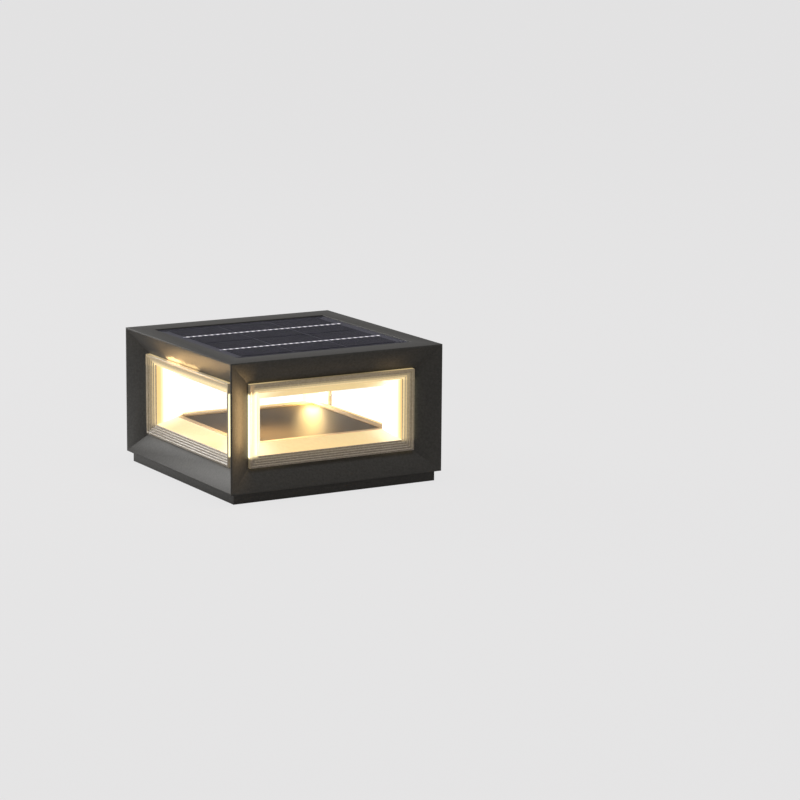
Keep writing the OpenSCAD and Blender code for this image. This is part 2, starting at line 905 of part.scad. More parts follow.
// Four connectors on the board
module board_connectors() {
  color([0.95, 0.93, 0.85])
    for (p = plug_points())
      box_at(p[0], p[1], z_board_top, plug_w, plug_w, plug_h);
}

// Spacers under the board, with threaded holes
module board_spacers() {
  color(steel)
    for (p = board_points())
      translate([p[0], p[1], z_tray])
        difference() {
          cylinder(r = board_spacer_r, h = board_lift);
          translate([0, 0, board_lift - board_grip])
            cylinder(r = board_screw_r + run_fit, h = board_grip + over);
        }
}

// Screws of the board
module board_screws() {
  color(steel)
    for (p = board_points())
      translate([p[0], p[1], z_board_top])
        mirror([0, 0, 1])
          screw_up(board_screw_r, board_t + board_grip - board_grip_left, board_head_r, board_head_h);
}

// Barrel and bezel of the push switch, open at the bottom
module switch_body() {
  color(black)
    translate([switch_x, switch_y, 0])
      difference() {
        union() {
          translate([0, 0, z_bezel])
            cylinder(r = bezel_r, h = bezel_t);
          translate([0, 0, z_bezel + bezel_t])
            cylinder(r = barrel_r, h = z_switch_top - z_bezel - bezel_t);
        }
        translate([0, 0, z_bezel - over])
          cylinder(r = button_r + button_fit, h = z_bore_top - z_bezel + over);
        translate([0, 0, z_button_top - button_flange_h])
          cylinder(r = button_r + button_flange + button_fit, h = z_bore_top - z_button_top + button_flange_h);
      }
}

// Nut that holds the switch in the tray
module switch_nut() {
  color(steel)
    translate([switch_x, switch_y, z_tray])
      difference() {
        cylinder(r = nut_r, h = nut_t, $fn = 6);
        translate([0, 0, -over])
          cylinder(r = barrel_r + run_fit, h = nut_t + 2 * over);
      }
}

// Seal between the bezel and the tray
module switch_seal() {
  color(black)
    translate([switch_x, switch_y, z_tray_under - seal_t])
      difference() {
        cylinder(r = bezel_r, h = seal_t);
        translate([0, 0, -over])
          cylinder(r = barrel_r + run_fit, h = seal_t + 2 * over);
      }
}

// Push button, which slides up in the barrel and rests with its flange on a shoulder there
module button_cap() {
  lip = 0.6;
  color([0.6, 0.1, 0.08])
    translate([switch_x, switch_y, z_button]) {
      cylinder(r1 = button_r - lip, r2 = button_r, h = lip);
      translate([0, 0, lip])
        cylinder(r = button_r, h = button_h - lip);
      translate([0, 0, button_h - button_flange_h])
        cylinder(r = button_r + button_flange, h = button_flange_h);
    }
}

// Return spring between the button and the end of the bore
module button_spring() {
  steps = 8;
  low = z_button_top + spring_wire / 2 + spring_end;
  high = z_bore_top - spring_wire / 2 - spring_end;
  coil = [for (i = [0 : spring_turns * steps])
    let (a = 360 * i / steps, t = i / (spring_turns * steps))
    [switch_x + spring_r * cos(a), switch_y + spring_r * sin(a), low + (high - low) * t]];
  last = len(coil) - 1;
  apart = min([for (i = [0 : last - steps / 2]) for (j = [i + steps / 2 : last]) norm(coil[i] - coil[j])]);
  echo(least_gap_between_turns = apart - spring_wire);
  color(steel)
    tube(coil, spring_wire, [1, 0, 0], 6);
}

// Lead from the panel's terminal box, down the back left post to the controller
module panel_lead() {
  post = half - post_in;
  run = inside + 3;
  end = plug_points()[0];
  z_run = z_under_top - 14;
  path = route([[0, junction_y, z_backboard - junction_h], [0, junction_y, z_run],
    [-post, post, z_run], [-post, post, z_plug], [-run, 0, z_plug],
    [-run, end[1], z_plug], [end[0] - plug_w / 2, end[1], z_plug]], 4);
  color(black)
    tube(path, panel_lead_d, [1, 0, 0]);
}

// Harness that links the lower ends of the four strips and the controller
module led_harness() {
  corner = (u_bracket - led_board_t / 2) / sqrt(2);
  z = led_z0 - lead_d / 2 - lead_gap;
  end = plug_points()[1];
  path = route([[end[0], end[1] - plug_w / 2, z_plug], [end[0], -corner, z_plug],
    [end[0], -corner, z], [-corner, -corner, z], [-corner, corner, z], [corner, corner, z],
    [corner, -corner, z]], 4);
  color(black)
    tube(path, lead_d, [1, 0, 0]);
}

// Lead from the battery holder to the controller
module battery_lead() {
  end = plug_points()[2];
  x_out = -holder_l / 2 - lead_out;
  path = route([[-holder_l / 2, holder_y, z_plug], [x_out, holder_y, z_plug],
    [x_out, end[1] + plug_w, z_plug], [end[0], end[1] + plug_w / 2 + lead_out, z_plug],
    [end[0], end[1] + plug_w / 2, z_plug]], 3);
  color([0.7, 0.1, 0.1])
    tube(path, lead_d, [0, 0, 1]);
}

// Lead from the switch to the controller
module switch_lead() {
  end = plug_points()[3];
  x_drop = end[0] + plug_w / 2 + lead_step;
  z_over = z_switch_top + lead_rise;
  path = route([[switch_x, switch_y, z_switch_top], [switch_x, switch_y, z_over],
    [x_drop, end[1], z_over], [x_drop, end[1], z_plug], [end[0] + plug_w / 2, end[1], z_plug]], 2.5);
  color(black)
    tube(path, lead_d, [0, 1, 0]);
}

housing();
solar_backboard();
solar_cells();
solar_ribbons();
solar_cover();
solar_gasket();
junction_box();
window_lens(0);  // window_front
window_lens(1);  // window_right
window_lens(2);  // window_back
window_lens(3);  // window_left
window_gaskets();
window_clips();
window_screws();
floor_plate();
ceiling_plate();
floor_light_rim();
ceiling_light_rim();
corner_diffuser(0);  // diffuser_front_left
corner_diffuser(1);  // diffuser_front_right
corner_diffuser(2);  // diffuser_back_right
corner_diffuser(3);  // diffuser_back_left
led_board(0);  // led_board_front_left
led_board(1);  // led_board_front_right
led_board(2);  // led_board_back_right
led_board(3);  // led_board_back_left
led_chips();
led_bracket(0);  // led_bracket_front_left
led_bracket(1);  // led_bracket_front_right
led_bracket(2);  // led_bracket_back_right
led_bracket(3);  // led_bracket_back_left
floor_spacers();
ceiling_spacers();
floor_screws();
ceiling_screws();
base_tray();
base_gasket();
base_screws();
mounting_plate();
grub_screws();
battery_holder();
battery_cells();
battery_contacts();
controller_board();
board_chip();
board_inductor();
board_capacitor();
board_connectors();
board_spacers();
board_screws();
switch_body();
switch_nut();
switch_seal();
button_cap();
button_spring();
panel_lead();
led_harness();
battery_lead();
switch_lead();
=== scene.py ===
import json
import math

import bmesh
import bpy
from mathutils import Matrix, Vector


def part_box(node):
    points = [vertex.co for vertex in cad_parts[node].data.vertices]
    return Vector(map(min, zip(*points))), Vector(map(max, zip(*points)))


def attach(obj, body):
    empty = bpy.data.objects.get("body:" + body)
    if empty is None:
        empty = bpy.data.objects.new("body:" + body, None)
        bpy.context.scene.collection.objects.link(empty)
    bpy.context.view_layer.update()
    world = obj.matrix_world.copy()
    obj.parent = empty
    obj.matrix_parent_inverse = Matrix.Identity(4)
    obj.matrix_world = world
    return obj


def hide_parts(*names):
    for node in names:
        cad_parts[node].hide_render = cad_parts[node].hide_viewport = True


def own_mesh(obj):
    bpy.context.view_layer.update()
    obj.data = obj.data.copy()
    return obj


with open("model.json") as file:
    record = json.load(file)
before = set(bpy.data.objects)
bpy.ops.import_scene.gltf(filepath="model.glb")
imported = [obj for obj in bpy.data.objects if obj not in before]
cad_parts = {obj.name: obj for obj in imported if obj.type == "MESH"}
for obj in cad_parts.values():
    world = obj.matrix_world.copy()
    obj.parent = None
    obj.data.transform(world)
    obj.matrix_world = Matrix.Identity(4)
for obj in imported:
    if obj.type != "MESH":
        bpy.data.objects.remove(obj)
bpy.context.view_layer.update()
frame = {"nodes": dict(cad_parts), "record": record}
mm = 0.001

body = {
    "half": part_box("housing")[1].x,
    "bottom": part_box("housing")[0].z,
    "top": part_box("housing")[1].z,
}
sides = ("front", "right", "back", "left")
corners = ("front_left", "front_right", "back_right", "back_left")
cadNodes = frame["nodes"]
# Lengths and shares under which two things count as the same, and angles in degrees
slack = {"merge": 0.002 * mm, "weld": 0.001 * mm, "plane": 0.05 * mm, "inward": 1e-6, "facing": 0.9}
angle = {"flat": 0.5, "edge": 20, "bevel": 30, "shade": 35, "ribbonShade": 50, "wireShade": 65}


def calm():
    if bpy.context.object and bpy.context.object.mode != "OBJECT":
        bpy.ops.object.mode_set(mode="OBJECT")
    bpy.ops.object.select_all(action="DESELECT")


def take(piece):
    calm()
    piece.select_set(True)
    bpy.context.view_layer.objects.active = piece


def startBlock(name, low, high):
    calm()
    bpy.ops.mesh.primitive_cube_add(size=1, location=[(a + b) / 2 for a, b in zip(low, high)])
    piece = bpy.context.object
    piece.name = piece.data.name = name
    piece.scale = [b - a for a, b in zip(low, high)]
    bpy.ops.object.transform_apply(location=True, rotation=True, scale=True)
    return piece


def pick(piece, kind, test):
    # Leaves the piece in edit mode with the faces or edges that pass the test selected
    take(piece)
    bpy.ops.object.mode_set(mode="EDIT")
    bpy.ops.mesh.select_mode(type=kind)
    bpy.ops.mesh.select_all(action="DESELECT")
    mesh = bmesh.from_edit_mesh(piece.data)
    for part in mesh.faces if kind == "FACE" else mesh.edges:
        if test(part):
            part.select_set(True)
    bmesh.update_edit_mesh(piece.data)


def push(y):
    bpy.ops.mesh.extrude_region_move(TRANSFORM_OT_translate={"value": (0, y, 0)})


def shadeSmooth(piece, degrees):
    take(piece)
    bpy.ops.object.shade_smooth_by_angle(angle=math.radians(degrees))
    calm()


def addPiece(name, mesh):
    piece = bpy.data.objects.new(name, mesh)
    piece.data.name = name
    bpy.context.scene.collection.objects.link(piece)
    take(piece)
    return piece


def copyNode(node, name):
    # The CAD mesh is loose triangles, so a copy is merged and its flat faces are joined
    piece = addPiece(name, cadNodes[node].data.copy())
    bpy.ops.mesh.customdata_custom_splitnormals_clear()
    bpy.ops.object.mode_set(mode="EDIT")
    bpy.ops.mesh.select_all(action="SELECT")
    bpy.ops.mesh.remove_doubles(threshold=slack["merge"])
    bpy.ops.mesh.dissolve_limited(angle_limit=math.radians(angle["flat"]))
    bpy.ops.mesh.normals_make_consistent(inside=False)
    calm()
    return piece


def turnedCopy(piece, name, quarter):
    twin = addPiece(name, piece.data.copy())
    twin.rotation_euler.z = math.radians(90 * quarter)
    bpy.ops.object.transform_apply(location=False, rotation=True, scale=False)
    calm()
    return twin


def weighEdges(piece, weights):
    # weights(edge) gives 0 to 1, the share of the bevel's full width
    take(piece)
    bpy.ops.object.mode_set(mode="EDIT")
    mesh = bmesh.from_edit_mesh(piece.data)
    layers = mesh.edges.layers.float
    layer = layers.get("bevel_weight_edge") or layers.new("bevel_weight_edge")
    for edge in mesh.edges:
        if len(edge.link_faces) == 2 and edge.calc_face_angle() > math.radians(angle["edge"]):
            edge[layer] = weights(edge)
    bmesh.update_edit_mesh(piece.data)
    calm()


def roundEdges(piece, width, segments=2, weighed=False):
    take(piece)
    bpy.ops.object.modifier_add(type="BEVEL")
    bevel = piece.modifiers[-1]
    bevel.width = width
    bevel.segments = segments
    bevel.limit_method = "WEIGHT" if weighed else "ANGLE"
    bevel.angle_limit = math.radians(angle["bevel"])
    bevel.use_clamp_overlap = True
    bpy.ops.object.modifier_apply(modifier=bevel.name)
    shadeSmooth(piece, angle["shade"])


def repeatPiece(piece, step, count, merged=False):
    take(piece)
    bpy.ops.object.modifier_add(type="ARRAY")
    array = piece.modifiers[-1]
    array.use_relative_offset = False
    array.use_constant_offset = True
    array.constant_offset_displace = step
    array.count = count
    array.use_merge_vertices = merged
    array.merge_threshold = slack["weld"]
    bpy.ops.object.modifier_apply(modifier=array.name)
    calm()


# A socket of a node; Python's operators on it add Math nodes
class Wire:
    def __init__(self, finish, socket):
        self.finish, self.socket = finish, socket

    def maths(self, operation, other=0.0, first=None):
        values = (self, other) if first is None else (first, self)
        return self.finish.add("Math", {"operation": operation}, {0: values[0], 1: values[1]})

    def __add__(self, other):
        return self.maths("ADD", other)

    __radd__ = __add__

    def __sub__(self, other):
        return self.maths("SUBTRACT", other)

    def __rsub__(self, other):
        return self.maths("SUBTRACT", first=other)

    def __mul__(self, other):
        return self.maths("MULTIPLY", other)

    __rmul__ = __mul__

    def __truediv__(self, other):
        return self.maths("DIVIDE", other)

    def __abs__(self):
        return self.maths("ABSOLUTE")

    def most(self, other):
        return self.maths("MAXIMUM", other)

    def least(self, other):
        return self.maths("MINIMUM", other)

    def ramp(self, low, high):
        # 0 at low and 1 at high, held outside them, smooth between
        return self.finish.add("MapRange", {"interpolation_type": "SMOOTHSTEP"},
                               {"Value": self, "From Min": low, "From Max": high})


# A material or a world under construction
class Finish:
    def __init__(self, name, kind="materials"):
        self.owner = getattr(bpy.data, kind).new(name)
        self.owner.use_nodes = True
        self.tree = self.owner.node_tree
        self.tree.nodes.clear()

    def add(self, kind, settings=None, inputs=None, output=0):
        node = self.tree.nodes.new("ShaderNode" + kind)
        for name, value in (settings or {}).items():
            setattr(node, name, value)
        for name, value in (inputs or {}).items():
            if isinstance(value, Wire):
                self.tree.links.new(value.socket, node.inputs[name])
            else:
                node.inputs[name].default_value = value
        return Wire(self, node.outputs[output])

    def place(self, axis):
        return self.add("SeparateXYZ", inputs={0: self.add("TexCoord", output="Object")}, output=axis)

    def noise(self, scale, detail=2.0, roughness=0.5):
        spot = self.add("TexCoord", output="Object")
        return self.add("TexNoise", inputs={"Vector": spot, "Scale": scale, "Detail": detail,
                                            "Roughness": roughness})

    def blend(self, factor, first, second):
        # Colours are given as (red, green, blue) or as a wire
        a, b = (c if isinstance(c, Wire) else (*c, 1) for c in (first, second))
        return self.add("Mix", {"data_type": "RGBA"}, {0: factor, 6: a, 7: b}, output=2)

    def around(self, factor, colour, spread):
        # The colour, darker and paler by the share spread
        darker, paler = [c * (1 - spread) for c in colour], [min(1, c * (1 + spread)) for c in colour]
        return self.blend(factor, darker, paler)

    def bump(self, height, strength, distance):
        return self.add("Bump", inputs={"Height": height, "Strength": strength, "Distance": distance})

    def shining(self, strength, colour):
        # Emission values for surface(): the colour carries what varies, the strength is the peak
        level = strength * (1 / glow["peak"])
        return {"Emission_Color": self.blend(level, (0, 0, 0), colour), "Emission_Strength": glow["peak"]}

    def surface(self, **values):
        names = {key: key.replace("_", " ") for key in values}
        shader = self.add("BsdfPrincipled", inputs={
            names[key]: (*v, 1) if isinstance(v, tuple) else v for key, v in values.items()})
        return self.output(shader)

    def output(self, shader, kind="OutputMaterial"):
        end = self.tree.nodes.new("ShaderNode" + kind)
        self.tree.links.new(shader.socket, end.inputs["Surface"])
        return self


def dress(piece, *finishesOfPiece):
    piece.data.materials.clear()
    for finish in finishesOfPiece:
        piece.data.materials.append(finish.owner)


def dressNode(node, finish):
    for place in cadNodes[node].material_slots:
        place.material = finish.owner


# Where a noise turns from dark to pale
span = {"soft": (0.3, 0.7), "crisp": (0.35, 0.65)}

# Black powder coat: a fine orange peel under faint clouds
coat = {
    "colour": (0.054, 0.053, 0.051), "spread": 0.20, "mottle": 420.0, "mottleDetail": 3.0,
    "mottleShare": 0.6, "grain": 1400.0, "roughness": 0.54, "roughSpread": 0.12, "specular": 0.28,
    "peel": 0.25, "peelDepth": 0.15 * mm,
}


def powderCoat():
    made = Finish("powder_coat")
    mottle = made.noise(coat["mottle"], coat["mottleDetail"])
    grain = made.noise(coat["grain"])
    cloud = mottle * coat["mottleShare"] + grain * (1 - coat["mottleShare"])
    smoothest = coat["roughness"] - coat["roughSpread"] / 2
    colour = made.around(cloud.ramp(*span["soft"]), coat["colour"], coat["spread"])
    return made.surface(Base_Color=colour, Roughness=grain * coat["roughSpread"] + smoothest,
                        Specular_IOR_Level=coat["specular"],
                        Normal=made.bump(grain, coat["peel"], coat["peelDepth"]))


# Plain parts, mostly inside: moulded plastic, rubber, solder mask and bare metal with a fine grain
moulded = {"grain": 900.0, "roughSpread": 0.1, "bump": 0.1, "bumpDepth": 0.1 * mm}


def plain(name, colour, roughness=0.5, metallic=0.0, spread=0.08):
    made = Finish(name)
    grain = made.noise(moulded["grain"])
    smoothest = roughness - moulded["roughSpread"] / 2
    shade = made.around(grain.ramp(*span["soft"]), colour, spread)
    return made.surface(Base_Color=shade, Metallic=metallic,
                        Roughness=grain * moulded["roughSpread"] + smoothest,
                        Normal=made.bump(grain, moulded["bump"], moulded["bumpDepth"]))


# Passivated zinc: pale cloudy patches over a fine grain
zinc = {
    "cloud": 140.0, "cloudDetail": 4.0, "cloudRoughness": 0.6, "grain": 1100.0,
    "dark": (0.50, 0.50, 0.515), "pale": (0.70, 0.70, 0.69), "roughness": 0.2, "cloudSpread": 0.22,
    "grainSpread": 0.08, "bump": 0.12, "bumpDepth": 0.08 * mm,
}


def zincSteel():
    made = Finish("steel_zinc")
    cloud = made.noise(zinc["cloud"], zinc["cloudDetail"], zinc["cloudRoughness"])
    grain = made.noise(zinc["grain"])
    colour = made.blend(cloud.ramp(*span["crisp"]), zinc["dark"], zinc["pale"])
    roughness = cloud * zinc["cloudSpread"] + grain * zinc["grainSpread"] + zinc["roughness"]
    return made.surface(Base_Color=colour, Metallic=1.0, Roughness=roughness,
                        Normal=made.bump(grain, zinc["bump"], zinc["bumpDepth"]))


# Colours and strengths of the glowing surfaces: the corner columns are the lamp's own lights; the glow of the
# lenses and the light rims is painted light that stands in for the columns' light passing through them
glow = {
    "white": (1.0, 0.97, 0.86), "cream": (1.0, 0.76, 0.37), "amber": (1.0, 0.60, 0.15),
    "pale": (1.0, 0.93, 0.55), "strip": (1.0, 0.86, 0.60),
    "side": 2.2, "level": 0.60, "end": 1.1, "edge": 0.85, "column": 1.5, "rim": 0.02, "peak": 2.5,
}
# A window lens: its shape, and the funnel's widening from the pane to the ridges
lens = {
    "ridges": 5, "ridgeWidth": 2.16 * mm, "ridgeStep": 1.5 * mm, "bandDepth": 17.5 * mm,
    "skirt": 8.0 * mm, "flangeWidth": 4.0 * mm, "flangeThick": 2.5 * mm, "wall": 2.4 * mm,
    "openHalf": 73.7 * mm, "openRise": 23.55 * mm, "openMiddle": 78.0 * mm, "paneThick": 2.5 * mm,
    "widening": 13.0 * mm, "heightening": 9.4 * mm, "softEdge": 0.3 * mm,
    "ringSlack": 0.4 * mm, "flangeSlack": 0.5 * mm, "paneSlack": 0.1 * mm,
    "paneFacing": 0.99, "treadFacing": 0.6,
}


def lensPlaces(made):
    # Depth behind the face, distance from the window's middle, and height from its middle
    x, y, z = (abs(made.place(axis)) for axis in ("X", "Y", "Z"))
    return body["half"] - x.most(y), x.least(y), abs(z - lens["openMiddle"])


# Widths over which the windows, and the halves of one, turn into each other; the second is an area
split = {"side": 1 * mm, "half": 0.001}


def leftEnds(made):
    # 1 on the left half, seen from outside, of the front and the back window, then of the other two; the
    # lenses' painted glow differs between these halves
    x, y = made.place("X"), made.place("Y")
    facing, product = abs(y) - abs(x), x * y
    return (facing.ramp(-split["side"], split["side"]) * product.ramp(-split["half"], split["half"]),
            facing.ramp(split["side"], -split["side"]) * product.ramp(split["half"], -split["half"]))


def sideFaces(made):
    # 1 on the windows at the left and the right, 0 on the other two; their upper ridges get more painted glow
    return (abs(made.place("X")) - abs(made.place("Y"))).ramp(-split["side"], split["side"])


# The funnel behind the ridges: faint streaks, and a painted glow for the columns' light passing through it,
# white towards its ends, amber where it meets the ridges
band = {
    "streaks": 260.0, "streakSpread": 0.06, "dark": (0.49, 0.42, 0.29), "pale": (0.53, 0.45, 0.32),
    "roughness": 0.3, "mitre": 0.03, "ends": (40 * mm, 84 * mm), "whiteEnds": 0.35,
    "rim": (26 * mm, 18.4 * mm), "rimShift": 2 * mm, "amberSides": 0.75, "amberAll": 0.15,
    "nearPale": 0.6,
}


def litBand():
    made = Finish("lens_band")
    depth, across, rise = lensPlaces(made)
    sideways = (across - lens["openHalf"]) / lens["widening"]
    upwards = (rise - lens["openRise"]) / lens["heightening"]
    side = (sideways - upwards).ramp(-band["mitre"], band["mitre"])
    ends = across.ramp(*band["ends"])
    streaks = made.noise(band["streaks"])
    level = ends * ends * (glow["end"] - glow["level"]) + glow["level"]
    streaky = streaks * band["streakSpread"] + (1 - band["streakSpread"] / 2)
    strength = side * (glow["side"] - level) + level * streaky
    # Painted glow: paler on the near halves, and its amber edge shifted on the far ones
    near, far = leftEnds(made)
    rimward = (depth - far * band["rimShift"]).ramp(*band["rim"])
    colour = made.blend(side.most(ends * band["whiteEnds"]), glow["cream"], glow["white"])
    colour = made.blend(rimward * (side * band["amberSides"] + band["amberAll"]), colour, glow["amber"])
    strength = strength * (1 - rimward * side) + rimward * side * glow["edge"]
    paler = near * side * band["nearPale"]
    colour = made.blend(paler, colour, glow["pale"])
    shade = made.blend(streaks.ramp(*span["soft"]), band["dark"], band["pale"])
    return made.surface(Base_Color=shade, Roughness=band["roughness"],
                        **made.shining(strength * (1 - paler), colour))


# The ridges: grey beige treads, and risers painted paler than the treads as a painted highlight; both carry a
# painted glow where the columns' light would come out through them
beside = {"across": (84 * mm, 87 * mm), "rise": (36 * mm, 30 * mm)}
tread = {
    "grain": 500.0, "dark": (0.26, 0.225, 0.187), "pale": (0.325, 0.285, 0.24), "roughness": 0.16,
    "coat": 0.25, "coatRoughness": 0.08, "high": (30 * mm, 34 * mm), "inner": (12 * mm, 18 * mm),
    "litGlow": 0.95, "innerUpright": 0.8, "innerHigh": 0.75, "innerAll": 0.05, "highGlow": 0.08,
    "uprightGlow": 0.07, "sideHighGlow": 0.18,
}
riser = {
    "grain": 500.0, "dark": (0.42, 0.39, 0.35), "pale": (0.51, 0.48, 0.43), "roughness": 0.14,
    "coat": 0.3, "coatRoughness": 0.05, "wall": (97.2 * mm, 97.4 * mm), "wallRise": (34 * mm, 32 * mm),
    "roof": (43.5 * mm, 43.7 * mm), "roofEnds": (30 * mm, 84 * mm), "roofEndShare": 0.8,
    "proud": (10.9 * mm, 11.3 * mm), "wallGlow": 1.4, "roofGlow": 0.5, "litGlow": 0.75, "allGlow": 0.08,
}


def uprights(across, rise):
    # 1 on the stretches of the ridges that stand beside the pane
    return across.ramp(*beside["across"]) * rise.ramp(*beside["rise"])


def clearRidges():
    made = Finish("lens_ridges")
    depth, across, rise = lensPlaces(made)
    upright = uprights(across, rise)
    # Painted glow: strongest on the uprights of the left halves, more on the deeper ridges, on the uprights
    # and at the top, and more at the top of the side windows
    lit = upright * leftEnds(made)[0]
    high = (made.place("Z") - lens["openMiddle"]).ramp(*tread["high"])
    inner = upright * tread["innerUpright"] + high * tread["innerHigh"] + tread["innerAll"]
    strength = lit * tread["litGlow"] + depth.ramp(*tread["inner"]) * inner + high * tread["highGlow"]
    strength = strength + upright * tread["uprightGlow"] + high * sideFaces(made) * tread["sideHighGlow"]
    grain = made.noise(tread["grain"])
    shade = made.blend(grain.ramp(*span["crisp"]), tread["dark"], tread["pale"])
    return made.surface(Base_Color=shade, Roughness=tread["roughness"], Coat_Weight=tread["coat"],
                        Coat_Roughness=tread["coatRoughness"],
                        **made.shining(strength, made.blend(lit, glow["cream"], glow["pale"])))


def ridgeSteps():
    made = Finish("lens_steps")
    depth, across, rise = lensPlaces(made)
    # Painted glow on the risers: on the proud outer walls and roofs, and on the uprights of the left halves
    wall = across.ramp(*riser["wall"]) * rise.ramp(*riser["wallRise"])
    roofEnds = across.ramp(*riser["roofEnds"]) * riser["roofEndShare"] + (1 - riser["roofEndShare"])
    roof = rise.ramp(*riser["roof"]) * roofEnds
    lit = uprights(across, rise) * leftEnds(made)[0]
    strength = (wall * riser["wallGlow"] + roof * riser["roofGlow"]) * depth.ramp(*riser["proud"])
    strength = strength + lit * riser["litGlow"] + riser["allGlow"]
    grain = made.noise(riser["grain"])
    shade = made.blend(grain.ramp(*span["crisp"]), riser["dark"], riser["pale"])
    return made.surface(Base_Color=shade, Roughness=riser["roughness"], Coat_Weight=riser["coat"],
                        Coat_Roughness=riser["coatRoughness"],
                        **made.shining(strength, made.blend(wall.most(lit), glow["cream"], glow["pale"])))


# The pane: clear, and without a shadow of its own
pane = {"colour": (1, 1, 1, 1), "bending": 1.2, "specular": 0.3}


def clearPane():
    made = Finish("lens_pane")
    glass = made.add("BsdfPrincipled", inputs={
        "Base Color": pane["colour"], "Roughness": 0.0, "IOR": pane["bending"],
        "Transmission Weight": 1.0, "Specular IOR Level": pane["specular"]})
    shadow = made.add("LightPath", output="Is Shadow Ray")
    through = made.add("BsdfTransparent", inputs={"Color": pane["colour"]})
    return made.output(made.add("MixShader", inputs={0: shadow, 1: glass, 2: through}))


# Warm white diffusing plastic of the strips and the rims: the strips glow as the lamp's lights, the rims with
# a faint painted glow
diffusing = {
    "grain": 300.0, "dark": (0.59, 0.45, 0.29), "pale": (0.66, 0.50, 0.33), "roughness": 0.4,
    "roughSpread": 0.1, "specular": 0.3,
}


def litPlastic(name, strength, colour):
    made = Finish(name)
    grain = made.noise(diffusing["grain"])
    shade = made.blend(grain.ramp(*span["soft"]), diffusing["dark"], diffusing["pale"])
    return made.surface(Base_Color=shade, Roughness=grain * diffusing["roughSpread"] + diffusing["roughness"],
                        Specular_IOR_Level=diffusing["specular"], Emission_Color=colour,
                        Emission_Strength=strength)


# Floor and ceiling of the lantern: brown grey painted sheet, satin
sheet = {
    "grain": 700.0, "dark": (0.095, 0.074, 0.050), "pale": (0.120, 0.094, 0.065), "roughness": 0.36,
    "roughSpread": 0.08, "specular": 0.12, "bump": 0.08, "bumpDepth": 0.1 * mm,
}


def floorMetal():
    made = Finish("floor_metal")
    grain = made.noise(sheet["grain"])
    shade = made.blend(grain.ramp(*span["soft"]), sheet["dark"], sheet["pale"])
    return made.surface(Base_Color=shade, Roughness=grain * sheet["roughSpread"] + sheet["roughness"],
                        Specular_IOR_Level=sheet["specular"],
                        Normal=made.bump(grain, sheet["bump"], sheet["bumpDepth"]))


# Solar panel: cells, ribbons and cover
cell = {
    "cloud": 60.0, "cloudDetail": 3.0, "dark": (0.005, 0.005, 0.011), "pale": (0.011, 0.010, 0.021),
    "roughness": 0.45, "specular": 0.05,
}
beads = {
    "pitch": 3.54 * mm, "neck": 0.76, "flat": 0.6, "rings": 5, "soft": 0.6, "dull": (0.20, 0.20, 0.25),
    "bright": (0.85, 0.83, 0.89), "roughness": 0.4, "shine": 0.55,
}
cover = {
    "grain": 400.0, "colour": (0.04, 0.04, 0.07), "alpha": 0.04, "roughness": 0.25, "roughSpread": 0.1,
    "specular": 0.1,
}


def cellFinish():
    made = Finish("solar_cell")
    cloud = made.noise(cell["cloud"], cell["cloudDetail"])
    shade = made.blend(cloud.ramp(*span["soft"]), cell["dark"], cell["pale"])
    return made.surface(Base_Color=shade, Roughness=cell["roughness"], Specular_IOR_Level=cell["specular"])


def ribbonFinish():
    # Every other bead carries a painted glint: a pale colour and a faint glow where the metal would reflect
    # the light
    made = Finish("ribbon")
    wave = made.add("Math", {"operation": "SINE"}, {0: made.place("X") * (math.pi / beads["pitch"])})
    colour = made.blend(wave.ramp(-beads["soft"], beads["soft"]), beads["dull"], beads["bright"])
    return made.surface(Base_Color=colour, Roughness=beads["roughness"], Emission_Color=colour,
                        Emission_Strength=beads["shine"])


def coverGlass():
    made = Finish("panel_cover")
    roughness = made.noise(cover["grain"]) * cover["roughSpread"] + cover["roughness"]
    return made.surface(Base_Color=cover["colour"], Roughness=roughness, Alpha=cover["alpha"],
                        Specular_IOR_Level=cover["specular"])


blackCoat = powderCoat()
steel = zincSteel()
rubber = plain("rubber_black", (0.022, 0.022, 0.022), 0.75)
finishes = {
    "powder_coat": blackCoat, "steel_zinc": steel, "rubber_black": rubber, "foam_black": rubber,
    "panel_cover": coverGlass(), "solar_cell": cellFinish(), "ribbon": ribbonFinish(),
    "panel_board": plain("panel_board", (0.034, 0.034, 0.054), spread=0.15),
    "lit_white": litPlastic("lit_rim", glow["rim"], glow["cream"]), "floor_metal": floorMetal(),
    "aluminium_plain": plain("aluminium_plain", (0.72, 0.72, 0.73), 0.4, metallic=1.0),
    "board_white": plain("board_white", (0.86, 0.86, 0.84), 0.4),
    "board_green": plain("board_green", (0.03, 0.22, 0.10), 0.35),
    "led": plain("led", (1.0, 0.72, 0.2), 0.3),
    "plastic_black": plain("plastic_black", (0.035, 0.035, 0.037)),
    "plastic_cream": plain("plastic_cream", (0.88, 0.84, 0.72), 0.45),
    "plastic_red": plain("plastic_red", (0.5, 0.04, 0.03), 0.4),
    "cell_wrap": plain("cell_wrap", (0.06, 0.18, 0.42), 0.25),
    "ferrite": plain("ferrite", (0.1, 0.1, 0.1), 0.6),
    "lead_black": plain("lead_black", (0.03, 0.03, 0.03), 0.4),
    "lead_red": plain("lead_red", (0.45, 0.02, 0.02), 0.4),
}
for part in frame["record"]["subparts"]:
    if part["material_slot"] in finishes:  # the lenses get theirs below
        dressNode(part["node"], finishes[part["material_slot"]])
column = litPlastic("lit_column", glow["column"], glow["strip"])
for corner in corners:
    dressNode("diffuser_" + corner, column)
print("finishes made")


# Housing: the casting with its edges rounded
casting = {"outer": 0.4 * mm, "land": 0.5, "pocket": 0.2, "segments": 3}


